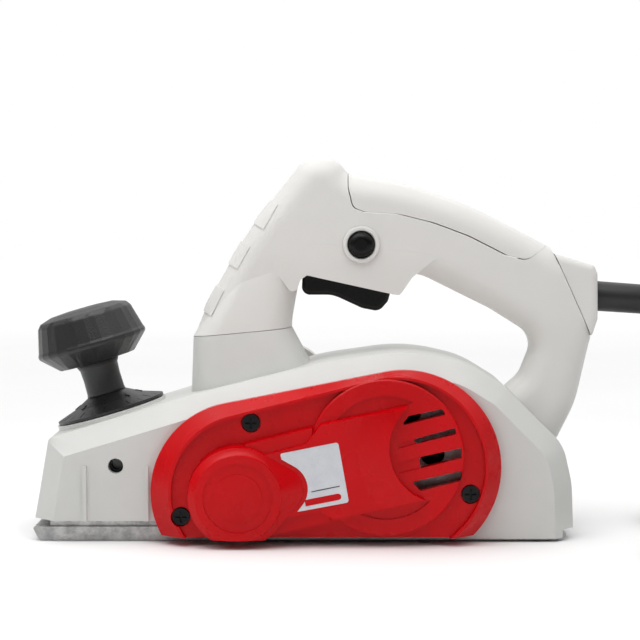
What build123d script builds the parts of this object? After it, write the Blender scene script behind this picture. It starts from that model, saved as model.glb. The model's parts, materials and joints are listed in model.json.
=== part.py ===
"""Electric hand planer, 82 mm cut, 290 mm sole.

Millimetres, +X to the rear, +Z up, the belt side on -Y. The origin is on the rear sole, under the
middle of the tool.
"""
import math
import os

from build123d import *

# Sole and body
SOLE_HALF = 41.0
BODY_HALF = 46.0
FLAT_HALF = 35.0
SHOULDER_INSET = 11.0
FRONT_FLOOR = 11.3
REAR_FLOOR = 1.5
REAR_SHOE_TOP = 5.6
GUIDE = (-99.9, 40.9)
GUIDE_SEAT = -41.0
SHOE_FRONT = -145.6
SHOE_REAR = 142.5

# Cutter drum and motor axes, both along Y
DRUM = (-33.4, 27.0)
MOTOR = (44.5, 47.5)
CUT_RADIUS = 26.9
DRUM_RADIUS = 25.2
SHAFT = 5.0
RUNNING_FIT = 0.03
BEARING_OUTER = 13.0
CHAMBER_RADIUS = 31.0
STATOR_RADIUS = 36.0
DRIVEN_RADIUS = 14.6
DRIVE_RADIUS = 11.6
BELT_GAP = 0.3
SCREW_SEAT = 3.1
SCREW_HEAD = 2.6
BELT_THICK = 2.3
BELT_SIDE = (-58.9, -51.3)
PULLEY_FLANGE = 1.1
BLADE_ANGLES = (35, 215)

# Depth knob axis: it leans forward from this point on top of the nose
KNOB = (-107.2, 66.6)
KNOB_LEAN = 16.0
SCREW_RADIUS = 4.0
BOSS_RADIUS = 12.0
RING_RADIUS = 30.2
NECK_RADIUS = 10.5

# Belt cover
COVER_BACK = -46.3
COVER_RIM = -51.5
COVER_FACE = -61.0
COVER_FLOOR = -57.6
COVER_WALL = 2.6
COVER_CREST = 1.4
COVER_BOTTOM = 4.5
OUTER_FRONT = ((-32.4, 27.5), 48.3)
OUTER_REAR = ((54.3, 40.8), 52.0)
INNER_FRONT = ((-28.5, 28.5), 42.0)
INNER_REAR = ((50.3, 41.8), 48.2)
DISC_FACE = -62.2
DISC_RADIUS = 41.4
STRIP_FACE = -64.0
TUNNEL_FACE = -66.5
FLARE_FACE = -69.0
DOME_FACE = -70.0
DOME_NOSE = (-10.5, 31.5)
BITE = ((75.2, 53.1), 29.3)
FLARE_RADIUS = 46.0

# Motor cover on the right
RIGHT_FRONT = (MOTOR, 46.0)
RIGHT_REAR = ((60.0, 47.5), 51.0)

# Chip outlet on the right
DUCT = (-10.0, 76.0)
DUCT_FLANGE = 24.5
DUCT_RADIUS = 22.0
DUCT_BORE = 17.5
DUCT_END = 72.0

# Handle
GRIP_HALF = 18.0
GRIP_ROUND = 13.0
PAD_RISE = 0.8
SEAM_WIDTH = 0.4
SEAM_FRONT = ((-60.5, 108.5), (-6.2, 113.5))
SEAM_REAR = ((110.0, 82.9), (141.5, 51.3))
COLLAR_SEAM = ((138.0, 154.4), (159.2, 107.5))
BUTTON = (32.3, 159.0)
BUTTON_RADIUS = 7.2
TRIGGER_HALF = 8.0
TRIGGER_PIVOT = (3.5, 146.0)

# Supply cord
CORD_RADIUS = 3.5
GUARD_START = (157.0, 0.0, 130.6)
GUARD_DROOP = 4.0
GUARD_LENGTH = 62.0
COIL = (250.7, 17.0)
COIL_ENTRY = 49.8
COIL_INNER = 24.4
COIL_OUTER = 53.6
COIL_HEIGHT = 14.4
COIL_TURNS = 6.5
TAIL_Z = 3.6
PLUG_Z = 10.0
PLUG_START = -50.0
PLUG_LENGTH = 37.0

GAP = 0.3


# ---------------------------------------------------------------- helpers

def block(x0, x1, y0, y1, z0, z1):
    """A box between its bounds."""
    centre = ((x0 + x1) / 2, (y0 + y1) / 2, (z0 + z1) / 2)
    return Location(centre) * Box(x1 - x0, y1 - y0, z1 - z0)


def rod_y(axis, radius, y0, y1):
    """A cylinder along Y about axis (x, z)."""
    return Location((axis[0], (y0 + y1) / 2, axis[1]), (90, 0, 0)) * Cylinder(radius, y1 - y0)


def ring_y(axis, outer, inner, y0, y1):
    """A ring along Y about axis (x, z)."""
    return rod_y(axis, outer, y0, y1) - rod_y(axis, inner, y0 - 1, y1 + 1)


def rod_z(x, y, radius, z0, z1):
    """A vertical cylinder."""
    return Location((x, y, (z0 + z1) / 2)) * Cylinder(radius, z1 - z0)


def outline(points):
    """A face from (x, z, corner radius) points."""
    path = [(x, z) for x, z, _ in points]
    return make_face(FilletPolyline(*path, radius=[r for _, _, r in points], close=True))


def facing_left(y):
    """The plane at y whose normal is -Y and whose drawing axes are X and Z."""
    return Plane(origin=(0, y, 0), x_dir=(1, 0, 0), z_dir=(0, -1, 0))


def prism(face, y0, y1):
    """The face drawn in X and Z, pulled out from y0 to y1."""
    return extrude(facing_left(y1) * face, y1 - y0)


def tapered(face, y0, y1, inset):
    """The face pulled out from y0 towards -Y to y1, narrowing by inset all round."""
    return extrude(facing_left(y0) * face, y0 - y1, taper=math.degrees(math.atan2(inset, y0 - y1)))


def polar(centre, radius, angle):
    """The point at an angle, in radians, on a circle about centre."""
    return (centre[0] + radius * math.cos(angle), centre[1] + radius * math.sin(angle))


def loop(front, front_radius, rear, rear_radius):
    """The face inside an open belt round two circles."""
    along = math.atan2(rear[1] - front[1], rear[0] - front[0])
    lean = math.acos((front_radius - rear_radius) / math.dist(front, rear))
    front_top = polar(front, front_radius, along + lean)
    rear_top = polar(rear, rear_radius, along + lean)
    front_low = polar(front, front_radius, along - lean)
    rear_low = polar(rear, rear_radius, along - lean)
    front_arc = ThreePointArc(front_low, polar(front, front_radius, along + math.pi), front_top)
    rear_arc = ThreePointArc(rear_top, polar(rear, rear_radius, along), rear_low)
    return make_face([Line(front_top, rear_top), rear_arc, Line(rear_low, front_low), front_arc])


def up_knob(distance):
    """The place on the knob axis at this distance above the nose, turned to the axis."""
    lean = math.radians(KNOB_LEAN)
    place = (KNOB[0] - distance * math.sin(lean), 0, KNOB[1] + distance * math.cos(lean))
    return Location(place, (0, -KNOB_LEAN, 0))


def leaning_rod(radius, start, end):
    """A cylinder along the knob axis between two distances."""
    return up_knob((start + end) / 2) * Cylinder(radius, end - start)


def half_plane(line, side, reach=260.0):
    """A block that holds everything on one side (+1 up, -1 down) of a line in X and Z."""
    (x0, z0), (x1, z1) = line
    middle = ((x0 + x1) / 2, 0, (z0 + z1) / 2)
    turn = -math.degrees(math.atan2(z1 - z0, x1 - x0))
    return Location(middle, (0, turn, 0)) * Location((0, 0, side * reach / 2)) * Box(reach, reach, reach)


# ---------------------------------------------------------------- body

def body_profile():
    return outline([
        (-151.1, -25, 0), (-137.3, 54.5, 3), (-60, 78, 30), (14, 96.3, 120), (58, 102.5, 95),
        (90, 95, 55), (110.0, 82.6, 20), (141.5, 51.0, 26), (146.2, 30, 45), (147, 10, 0), (147, -25, 0),
    ])


def shoulders(profile):
    """The body's outside: flat over the middle, with a slanted shoulder down to each side wall."""
    middle = prism(profile, -FLAT_HALF, FLAT_HALF)
    side = tapered(profile, -FLAT_HALF, -BODY_HALF, SHOULDER_INSET)
    return middle + side + mirror(side, about=Plane.XZ)


def lower_post():
    """The root of the front post, from the body up to the handle seam."""
    (x0, z0), (x1, z1) = SEAM_FRONT
    slope = math.atan2(z1 - z0, x1 - x0)
    seam = Plane(
        origin=((x0 + x1) / 2, 0, (z0 + z1) / 2 - GAP),
        x_dir=(math.cos(slope), 0, math.sin(slope)),
        z_dir=(-math.sin(slope), 0, math.cos(slope)),
    )
    foot = Plane(origin=(-27, 0, 79), x_dir=(0.974, 0, 0.225), z_dir=(-0.225, 0, 0.974))
    top = seam * RectangleRounded(54.4, 45, 15)
    bottom = foot * RectangleRounded(71, 57, 18)
    return loft([bottom, top])


def make_body():
    body = shoulders(body_profile()) + lower_post()
    body += leaning_rod(RING_RADIUS + 0.8, -9, -0.5)
    for x in (-116.6, -83.3):
        body += block(x - 1.1, x + 1.1, -BODY_HALF - 1.5, -BODY_HALF + 1, FRONT_FLOOR, 41)
    for side in (-1, 1):
        inner, outer = sorted((side * 40, side * 50))
        body += rod_y(DRUM, 17.5, inner, outer)
    body -= block(-200, DRUM[0] - 13, -90, 90, -40, FRONT_FLOOR)
    body -= block(DRUM[0] - 14, 200, -90, 90, -40, REAR_FLOOR)
    body -= block(-137, DRUM[0] - 14, -SOLE_HALF, SOLE_HALF, FRONT_FLOOR - 1, 14.4)
    body -= block(DRUM[0] + 9, 200, -SOLE_HALF - GAP, SOLE_HALF + GAP, 0, REAR_SHOE_TOP + GAP)
    body -= block(DRUM[0] - 14, DRUM[0] + 11, -SOLE_HALF - GAP, SOLE_HALF + GAP, -1, 15)
    body -= leaning_rod(BOSS_RADIUS + 0.6, -70, -17)
    body -= leaning_rod(SCREW_RADIUS + 0.5, -30, 5)
    body -= rod_y(DRUM, CHAMBER_RADIUS, -SOLE_HALF - 0.5, SOLE_HALF + 0.5)
    body -= rod_y(DRUM, BEARING_OUTER, -60, 60)
    body -= chip_passage()
    body -= rod_y(MOTOR, STATOR_RADIUS + 0.4, -60, 60)
    body -= guide_holes()
    body -= block(70, 140, -30, 30, 12, 44) - rod_y(MOTOR, STATOR_RADIUS + 4, -60, 60)
    body -= post_hollow()
    body -= screw_holes(BODY_SCREWS, 2.4, COVER_BACK - 1, -34)
    body -= screw_holes(RIGHT_SCREWS, 2.4, 38, 60)
    return body


def chip_passage():
    """From the top of the drum chamber up to the outlet on the right."""
    channel = prism(outline([(-52, 44, 0), (-16, 44, 0), (4, 62, 0), (8, 86, 8), (-26, 86, 8)]), -34, 34)
    return channel + rod_y(DUCT, DUCT_BORE, 0, 60)


def post_hollow():
    """The screw pocket in the front post."""
    return block(-50, -18, -14, 14, 96, 125)


def guide_holes():
    """The fence holes: a clearance mouth, then the threaded insert's seat."""
    left = rod_y(GUIDE, 4.1, -60, -33) + rod_y(GUIDE, 5.0, GUIDE_SEAT, -33)
    return left + mirror(left, about=Plane.XZ)


def make_guide_inserts():
    left = ring_y(GUIDE, 5.0, 3.0, GUIDE_SEAT, -33)
    return left + mirror(left, about=Plane.XZ)


def make_chip_duct():
    """The outlet tube on the right, with a flange against the body."""
    duct = rod_y(DUCT, DUCT_RADIUS, BODY_HALF, DUCT_END) + rod_y(DUCT, DUCT_FLANGE, 36, 52)
    duct -= shoulders(body_profile())
    duct -= lower_post()
    duct -= rod_y(DUCT, DUCT_BORE, 20, 90)
    return max(duct.solids(), key=lambda solid: solid.volume)


# ---------------------------------------------------------------- covers

BODY_SCREWS = ((-26.8, 65.6), (-64.0, 15.6), (89.5, 27.6))


def screw_holes(places, radius, y0, y1):
    holes = [rod_y(place, radius, y0, y1) for place in places]
    return Part() + holes


def make_screws(places, face, tip):
    """Pan-head screws with cross recesses, pointing to the tool's middle."""
    away = math.copysign(1, face)
    screws = []
    for place in places:
        head = rod_y(place, 4.5, *sorted((face, face - away * SCREW_HEAD)))
        shank = rod_y(place, 2.0, *sorted((face - away * SCREW_HEAD, tip)))
        slot = block(-3, 3, -1.6, 1.6, -0.55, 0.55) + block(-0.55, 0.55, -1.6, 1.6, -3, 3)
        screws.append(head + shank - Location((place[0], face, place[1])) * slot)
    return Part() + screws


def cover_shell(front, rear, inset, y0, y1):
    """The space inside the cover's outline between two planes."""
    return prism(loop(front[0], front[1] - inset, rear[0], rear[1] - inset), y0, y1)


def vent_slots():
    """Four slanted slots that let the motor's air out."""
    corners = (
        ((52.4, 64.5), (56.4, 69.7), (74.0, 73.4), (75.8, 70.3)),
        ((58.1, 57.1), (80.9, 63.4), (81.5, 60.0), (61.0, 55.0)),
        ((62.2, 47.9), (84.4, 52.8), (84.4, 47.3), (62.7, 41.9)),
        ((58.2, 34.7), (84.5, 40.7), (84.5, 35.2), (62.8, 29.8)),
    )
    return Part() + [prism(outline([(x, z, 0.8) for x, z in slot]), -90, -50) for slot in corners]


def vent_pockets():
    """Shallow blind ends that carry the two middle slots on to the tunnel's wall."""
    corners = (
        ((50.4, 55.4), (58.1, 57.1), (61.0, 55.0), (50.6, 52.4)),
        ((50.8, 45.4), (62.2, 47.9), (62.7, 41.9), (51.4, 39.2)),
    )
    return Part() + [prism(outline([(x, z, 0.4) for x, z in slot]), -90, DISC_FACE + 1) for slot in corners]


def motor_disc():
    """The raised disc over the motor, with a shallow recess inside its rim."""
    disc = rod_y(MOTOR, DISC_RADIUS, DISC_FACE, COVER_BACK)
    disc = chamfer(disc.edges().group_by(Axis.Y)[0], 0.7)
    recess = rod_y(MOTOR, DISC_RADIUS - 8.7, DISC_FACE - 1, DISC_FACE + 0.9)
    return disc - (recess - rod_y(*BITE, -90, 0))


def tunnel():
    """The raised run from the dome to the vents, which flares outwards to its rear end."""
    face = outline([
        (-34, 46, 0), (-20.1, 50.6, 1), (1.7, 56.2, 2), (9.1, 66.2, 3), (26.1, 69.9, 30), (58, 76.4, 0),
        (82, 60, 0), (82, 40, 0), (69, 25.6, 0), (36.4, 18.3, 20), (15.9, 14.0, 3), (9.6, 19.0, 2),
        (-8, 15, 2), (-34, 8, 0),
    ])
    run = tapered(face, COVER_FLOOR, FLARE_FACE, 1.6)
    rise = TUNNEL_FACE - FLARE_FACE
    place = Location((BITE[0][0], TUNNEL_FACE - rise / 2, BITE[0][1]), (90, 0, 0))
    flare = place * Cone(FLARE_RADIUS, BITE[1], rise)
    run -= block(-60, 100, FLARE_FACE - 1, TUNNEL_FACE, -20, 100) - flare
    return run - rod_y(*BITE, -90, DISC_FACE)


def side_strips():
    """The lower steps along both sides of the tunnel."""
    upper = outline([(-31, 54.8, 1), (6.2, 64.2, 1), (5, 48, 0), (-25, 42, 0)])
    lower = outline([(-17, 5.6, 0), (16.2, 13.9, 1), (12, 26, 0), (-12, 22, 0)])
    return tapered(upper, COVER_FLOOR, STRIP_FACE, 0.5) + tapered(lower, COVER_FLOOR, STRIP_FACE, 0.5)


def dome():
    """The round cap over the drum's pulley, with a nose towards the label."""
    base = tapered(loop(DRUM, 27.2, DOME_NOSE, 12.2), COVER_FLOOR, TUNNEL_FACE - 0.4, 0.8)
    foot = facing_left(TUNNEL_FACE - 0.4) * loop(DRUM, 26.4, DOME_NOSE, 11.4)
    top = facing_left(DOME_FACE) * loop(DRUM, 22.6, (-18.4, 29.5), 7.7)
    cap = base + loft([foot, top], ruled=True)
    cap -= rod_y(DRUM, 18.3, DOME_FACE - 1, DOME_FACE + 0.9)
    return cap + rod_y(DRUM, 12.7, DOME_FACE + 0.5, DOME_FACE + 1)


def cover_hollow():
    """The room inside the belt cover for the belt, its pulleys and the shaft ends."""
    room = cover_shell(INNER_FRONT, INNER_REAR, COVER_WALL, COVER_FLOOR + 2, COVER_BACK + 1)
    room += rod_y(MOTOR, 20.0, DISC_FACE + 1.8, COVER_BACK)
    belt_room = prism(loop(DRUM, 22.0, MOTOR, 18.5), TUNNEL_FACE + COVER_WALL, COVER_BACK)
    room += belt_room - rod_y(BITE[0], BITE[1] + 2.2, -90, DISC_FACE + 1.8)
    return room + rod_y(DRUM, 17.9, DOME_FACE + 3.4, TUNNEL_FACE + 3)


def make_belt_cover():
    """A bevelled rim round a sunk floor that carries the motor disc, the tunnel and the dome."""
    cover = cover_shell(OUTER_FRONT, OUTER_REAR, 0, COVER_RIM, COVER_BACK)
    outer = facing_left(COVER_RIM) * loop(OUTER_FRONT[0], OUTER_FRONT[1], OUTER_REAR[0], OUTER_REAR[1])
    inner = facing_left(COVER_FACE) * loop(INNER_FRONT[0], INNER_FRONT[1], INNER_REAR[0], INNER_REAR[1])
    cover += loft([outer, inner], ruled=True)
    cover -= cover_shell(INNER_FRONT, INNER_REAR, COVER_CREST, COVER_FACE - 1, COVER_FLOOR)
    cover += motor_disc() + tunnel() + side_strips() + dome()
    cover -= cover_hollow()
    for place in BODY_SCREWS:
        post = rod_y(place, 6.6, COVER_FLOOR, COVER_BACK)
        cover += post & cover_shell(OUTER_FRONT, OUTER_REAR, 1.0, COVER_FLOOR, COVER_BACK)
    cover -= screw_holes(BODY_SCREWS, 5.2, DOME_FACE, COVER_FLOOR + 2.1)
    cover -= screw_holes(BODY_SCREWS, 2.4, DOME_FACE, COVER_BACK + 1)
    cover -= vent_slots()
    cover -= vent_pockets()
    cover -= block(-200, 200, -90, 0, -60, COVER_BOTTOM)
    return cover


def label_face():
    return outline([(-11.3, 50.3, 1), (19.2, 56.4, 1.5), (24.9, 24.7, 1.5), (-2.5, 19.6, 1)])


def make_label():
    plate = prism(label_face(), TUNNEL_FACE - 0.4, TUNNEL_FACE)
    return plate - prism(loop(DRUM, 29.0, DOME_NOSE, 13.8), -90, -60)


RIGHT_SCREWS = tuple((MOTOR[0] + 39.0 * math.cos(turn), MOTOR[1] + 39.0 * math.sin(turn))
                     for turn in (math.radians(50), math.radians(205), math.radians(305)))


def make_right_cover():
    """The motor cover on the right, with the rear bearing's seat and air inlets."""
    cover = cover_shell(RIGHT_FRONT, RIGHT_REAR, 0, 34, 53)
    foot = facing_left(53) * loop(RIGHT_FRONT[0], RIGHT_FRONT[1], RIGHT_REAR[0], RIGHT_REAR[1])
    face = facing_left(57) * loop(RIGHT_FRONT[0], RIGHT_FRONT[1] - 3, RIGHT_REAR[0], RIGHT_REAR[1] - 3)
    cover += loft([foot, face], ruled=True) + rod_y(MOTOR, 38.0, 56, 60.5)
    cover -= shoulders(body_profile())
    cover -= rod_y(MOTOR, 36.0, 30, 55)
    cover -= rod_y(MOTOR, 33.0, 54, 58)
    cover += ring_y(MOTOR, 16.0, BEARING_OUTER, 48, 58.5)
    for turn in range(12):
        x, z = polar(MOTOR, 25, math.radians(30 * turn + 15))
        cover -= Location((x, 58, z), (0, -30 * turn - 15, 0)) * Box(12, 12, 4)
    for place in RIGHT_SCREWS:
        cover += rod_y(place, 7.0, BODY_HALF + GAP, 57) - rod_y(MOTOR, STATOR_RADIUS, 40, 70)
    cover -= screw_holes(RIGHT_SCREWS, 5.2, 53.8, 70)
    cover -= screw_holes(RIGHT_SCREWS, 2.4, 40, 70)
    cover -= rod_y(DUCT, DUCT_FLANGE + GAP, 0, 90)
    cover -= block(-200, 200, 0, 90, -60, 3)
    return max(cover.solids(), key=lambda solid: solid.volume)


# ---------------------------------------------------------------- shoes and depth setting

def make_front_shoe():
    """The moving sole: a ribbed plate, an upper flange and a threaded boss on the knob's axis."""
    mouth = DRUM[0] - 13
    nose = outline([
        (SHOE_FRONT + 3.6, 0, 1.5), (SHOE_FRONT, 7.4, 1.0), (SHOE_FRONT + 2.6, 7.4, 0), (mouth, 7.4, 0),
        (mouth, 0, 0),
    ])
    shoe = prism(nose, -SOLE_HALF, SOLE_HALF)
    shoe += block(SHOE_FRONT + 9.5, mouth - 3, -SOLE_HALF + 1.6, SOLE_HALF - 1.6, 7, 10.4)
    shoe -= block(SHOE_FRONT + 14, mouth - 12, -SOLE_HALF + 5, SOLE_HALF - 5, 6.2, 12)
    for y in (-24, 24):
        shoe += block(SHOE_FRONT + 13, mouth - 11, y - 1.5, y + 1.5, 5, 10.2)
    shoe += leaning_rod(BOSS_RADIUS, -66, -24) - block(-200, 0, -60, 60, -60, 3)
    shoe -= leaning_rod(SCREW_RADIUS + RUNNING_FIT, -60.5, -20)
    shoe -= Location((SHOE_FRONT + 50, 0, 0), (45, 0, 0)) * Box(140, 4.2, 4.2)
    shoe -= rod_y(DRUM, 29.0, -60, 60)
    return shoe


def make_rear_shoe():
    mouth = DRUM[0] + 11
    plate = block(mouth, SHOE_REAR, -SOLE_HALF, SOLE_HALF, 0, REAR_SHOE_TOP)
    plate = chamfer(plate.edges().group_by(Axis.X)[-1].filter_by(Axis.Y), 2.0)
    plate -= rod_y(DRUM, 28.0, -60, 60)
    for x, y in shoe_screw_places():
        plate -= rod_z(x, y, 2.2, -1, 8)
        plate -= rod_z(x, y, 4.3, -1, 2.4)
    return plate


def shoe_screw_places():
    return [(x, y) for x in (2.0, 126.0) for y in (-33.0, 33.0)]


def make_shoe_screws():
    screws = []
    for x, y in shoe_screw_places():
        slot = block(x - 2.6, x + 2.6, y - 0.5, y + 0.5, 0, 1.6)
        slot += block(x - 0.5, x + 0.5, y - 2.6, y + 2.6, 0, 1.6)
        screws.append(rod_z(x, y, 4.1, 0.3, 2.4) + rod_z(x, y, 2.1, 2.4, REAR_SHOE_TOP + 0.1) - slot)
    return Part() + screws


def twelve_sided(radius, height):
    """A regular twelve-sided face across the knob axis."""
    return up_knob(height) * RegularPolygon(radius, 12)


def make_knob():
    levels = ((28.0, 25.0), (37.0, 31.6), (39.5, 31.6), (54.5, 27.2), (58.6, 17.0), (59.8, 8.0))
    knob = leaning_rod(NECK_RADIUS, 9.4, 27) + leaning_rod(24.0, 26.2, 28.0)
    for (low, low_radius), (high, high_radius) in zip(levels, levels[1:]):
        knob += loft([twelve_sided(low_radius, low), twelve_sided(high_radius, high)], ruled=True)
    for turn in range(12):
        groove = Location((30.2, 0, 0), (0, -16, 0)) * Box(1.6, 1.2, 22)
        knob -= up_knob(47) * Location((0, 0, 0), (0, 0, 30 * turn)) * groove
    return knob - leaning_rod(SCREW_RADIUS, 0, 40)


def make_scale_ring():
    """The cone under the knob, with ticks round its skirt."""
    profile = make_face(Polyline(
        (4.4, 0), (RING_RADIUS, 0), (RING_RADIUS, 1.4), (19, 5.2), (11.2, 9.3), (4.4, 9.3), close=True,
    ))
    cone = revolve(Plane.XZ * profile, axis=Axis.Z)
    for turn in range(24):
        long = 3.6 if turn % 2 else 5.6
        tick = Location((RING_RADIUS - 1.2 - long / 2, 0, 2.85), (0, 19, 0)) * Box(long, 0.7, 1.0)
        cone -= Location((0, 0, 0), (0, 0, 15 * turn)) * tick
    return up_knob(0) * cone


def make_depth_screw():
    return leaning_rod(SCREW_RADIUS, -57, 40) - leaning_rod(1.2, -58, -50)


def make_depth_spring():
    """A friction spring round the screw, drawn as its sleeve at its shortest."""
    return leaning_rod(7.6, -23.9, -19.8) - leaning_rod(SCREW_RADIUS + 0.6, -30, -10)


# ---------------------------------------------------------------- cutter and drive

def on_drum(angle, radial, across, size):
    """A box at a radius and a sideways offset in the drum's own frame."""
    return Location((DRUM[0], 0, DRUM[1]), (0, angle, 0)) * Location((radial, 0, across)) * Box(*size)


def make_drum():
    drum = rod_y(DRUM, DRUM_RADIUS, -40.5, 40.5) + rod_y(DRUM, 7.5, -41.3, 41.3)
    drum += rod_y(DRUM, SHAFT - RUNNING_FIT, -65, 50)
    for angle in BLADE_ANGLES:
        drum -= on_drum(angle, 22, 4.3, (13, 90, 8.6))
        drum -= on_drum(angle, 25, -0.6, (7.2, 90, 1.2))
    return drum


def make_blade(angle):
    return on_drum(angle, 24.15, -0.6, (5.5, 82, 1.1)) - rod_y(DRUM, 21.4, -60, 60)


def make_clamp(angle):
    clamp = on_drum(angle, 19.4, 4.3, (7.6, 80.6, 8.2))
    return clamp - clamp_screws(angle, 2.6)


def clamp_screws(angle, radius):
    screws = []
    for y in (-28, 0, 28):
        stud = Location((19.6, 0, 4.3), (0, 90, 0)) * Cylinder(radius, 7.0)
        screws.append(Location((DRUM[0], y, DRUM[1]), (0, angle, 0)) * stud)
    return Part() + screws


def make_bearing(axis, y0, y1):
    """A sealed bearing: races and shields as one piece, running on its shaft."""
    bearing = ring_y(axis, BEARING_OUTER, SHAFT, y0, y1)
    for y in (y0, y1):
        bearing -= ring_y(axis, 10.6, 7.4, y - 0.4, y + 0.4)
    return bearing


def make_pulley(axis, radius, teeth):
    y0, y1 = BELT_SIDE
    pulley = rod_y(axis, radius, y0 - 0.2, y1 + 0.2)
    for turn in range(teeth):
        x, z = polar(axis, radius, 2 * math.pi * turn / teeth)
        pulley -= rod_y((x, z), 0.75, y0 - 0.2, y1 + 0.2)
    for inside, outside in ((y0 - 0.2, y0 - PULLEY_FLANGE), (y1 + 0.2, y1 + PULLEY_FLANGE)):
        pulley += rod_y(axis, radius + 2.4, *sorted((inside, outside)))
    return pulley - rod_y(axis, SHAFT - RUNNING_FIT, -90, 0)


def make_belt():
    y0, y1 = BELT_SIDE
    inside = loop(DRUM, DRIVEN_RADIUS + BELT_GAP, MOTOR, DRIVE_RADIUS + BELT_GAP)
    reach = BELT_GAP + BELT_THICK
    outside = loop(DRUM, DRIVEN_RADIUS + reach, MOTOR, DRIVE_RADIUS + reach)
    return prism(outside, y0, y1) - prism(inside, y0 - 1, y1 + 1)


def make_pulley_nut():
    hexagon = facing_left(BELT_SIDE[0] - PULLEY_FLANGE - 0.1) * Location(DRUM) * RegularPolygon(8.0, 6)
    return extrude(hexagon, 4.2) - rod_y(DRUM, SHAFT - RUNNING_FIT, -90, 0)


# ---------------------------------------------------------------- motor

def make_end_plate():
    """The bracket that holds the front motor bearing in the left wall."""
    plate = rod_y(MOTOR, STATOR_RADIUS + 0.35, -46, -42) + rod_y(MOTOR, 16.5, -48, -38.5)
    plate -= rod_y(MOTOR, BEARING_OUTER, -60, 0)
    for turn in range(6):
        x, z = polar(MOTOR, 25.5, math.radians(60 * turn))
        plate -= rod_y((x, z), 6.5, -60, -30)
    return plate


def make_fan():
    fan = rod_y(MOTOR, 33, -30.5, -29) + rod_y(MOTOR, 9, -38, -29)
    for turn in range(12):
        blade = Location((20, 0, 0), (0, 18, 0)) * Box(23, 6.5, 1.4)
        fan += Location((MOTOR[0], -33.5, MOTOR[1]), (0, 30 * turn, 0)) * blade
    return fan - rod_y(MOTOR, SHAFT - RUNNING_FIT, -60, 0)


def make_shaft():
    return rod_y(MOTOR, SHAFT - RUNNING_FIT, BELT_SIDE[0] - PULLEY_FLANGE, 57)


def make_core():
    core = rod_y(MOTOR, 20.5, -20, 15)
    for turn in range(12):
        x, z = polar(MOTOR, 19.6, math.radians(30 * turn))
        core -= rod_y((x, z), 1.1, -30, 30)
    return core - rod_y(MOTOR, SHAFT - RUNNING_FIT, -60, 60)


def make_windings():
    left = ring_y(MOTOR, 17.5, SHAFT - RUNNING_FIT, -27, -20)
    right = ring_y(MOTOR, 17.5, SHAFT - RUNNING_FIT, 15, 22)
    return fillet(left.edges().group_by(Axis.Y)[0].sort_by(SortBy.RADIUS)[-1:], 3) + right


def make_commutator():
    drum = rod_y(MOTOR, 11, 24, 37)
    for turn in range(24):
        cut = Location((11, 0, 0)) * Box(1.2, 11, 0.5)
        drum -= Location((MOTOR[0], 30, MOTOR[1]), (0, 15 * turn, 0)) * cut
    return drum - rod_y(MOTOR, SHAFT - RUNNING_FIT, -60, 60)


def make_stator_core():
    core = ring_y(MOTOR, STATOR_RADIUS, 21.2, -20, 15)
    for side in (-1, 1):
        middle = MOTOR[0] + side * 28
        core -= block(middle - 5, middle + 5, -30, 30, MOTOR[1] - 12, MOTOR[1] + 12)
    return core


def make_stator_coils():
    return ring_y(MOTOR, 33, 22.5, -26.5, -20.1) + ring_y(MOTOR, 33, 22.5, 15.1, 21.5)


def make_brush_holders():
    holder = block(13.5, 31, 25.2, 34.8, -4.6, 4.6) - block(13, 30, 26.4, 33.6, -3.3, 3.3)
    pair = holder + mirror(holder, about=Plane.YZ)
    return Location((MOTOR[0], 0, MOTOR[1])) * pair


def make_brushes():
    brush = block(11.1, 22, 26.5, 33.5, -3.2, 3.2) - rod_y((0, 0), 11.06, 20, 40)
    pair = brush + mirror(brush, about=Plane.YZ)
    return Location((MOTOR[0], 0, MOTOR[1])) * pair


# ---------------------------------------------------------------- handle

def handle_outline():
    return outline([
        (-64.5, 84, 0), (-61.5, 104, 30), (-52.5, 127, 60), (-30.5, 166, 200), (10.5, 218.0, 16),
        (25.2, 197.6, 8), (54, 193.4, 120), (92, 180.6, 160), (125, 163.6, 120), (151, 150, 14),
        (163.5, 119, 14), (159.0, 104, 20), (151.5, 71, 60), (133, 34, 0),
        (100, 68, 0), (121, 86.5, 14), (129.5, 107.5, 12), (104, 123.4, 60), (66, 142.2, 22),
        (-0.5, 148, 12), (-6.4, 114, 40), (-3.0, 88, 0),
    ])


def trigger_housing():
    """The lower wall round the trigger, under the grip."""
    return prism(outline([
        (-4.2, 130, 3), (-1.2, 139.5, 4), (2.5, 142.2, 1), (49.5, 131.8, 1), (53.5, 131.2, 2),
        (60.5, 141.2, 3), (74, 152, 0), (72, 164, 0), (-6, 168, 0), (-16, 146, 0),
    ]), 0.05 - GRIP_HALF, GRIP_HALF - 0.05)


def handle_solid():
    grip = prism(handle_outline(), -GRIP_HALF, GRIP_HALF)
    rims = grip.edges().filter_by(lambda edge: abs(abs(edge.center().Y) - GRIP_HALF) < 0.01)
    grip = fillet(rims, GRIP_ROUND)
    return grip + trigger_housing() + handle_foot()


def handle_foot():
    """The grip's flare down to the front seam."""
    (x0, z0), (x1, z1) = SEAM_FRONT
    slope = math.atan2(z1 - z0, x1 - x0)
    foot = Plane(
        origin=((x0 + x1) / 2, 0, (z0 + z1) / 2),
        x_dir=(math.cos(slope), 0, math.sin(slope)),
        z_dir=(-math.sin(slope), 0, math.cos(slope)),
    )
    neck = Plane(origin=(-24.5, 0, 142), x_dir=(0.94, 0, 0.34), z_dir=(-0.34, 0, 0.94))
    return loft([foot * RectangleRounded(54.2, 45, 15), neck * RectangleRounded(42, 35.8, 14)])


def panel_region():
    """Everything above the seam of the grip's top panel."""
    return prism(outline([
        (24.9, 240, 0), (24.9, 190, 0), (27.5, 179, 5), (34, 176.6, 4), (53, 175.4, 20), (72, 170.7, 40),
        (91, 163.6, 40), (112, 152.9, 12), (123, 150.2, 8), (138.0, 160.5, 0), (160, 175, 0), (160, 240, 0),
    ]), -60, 60)


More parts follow.
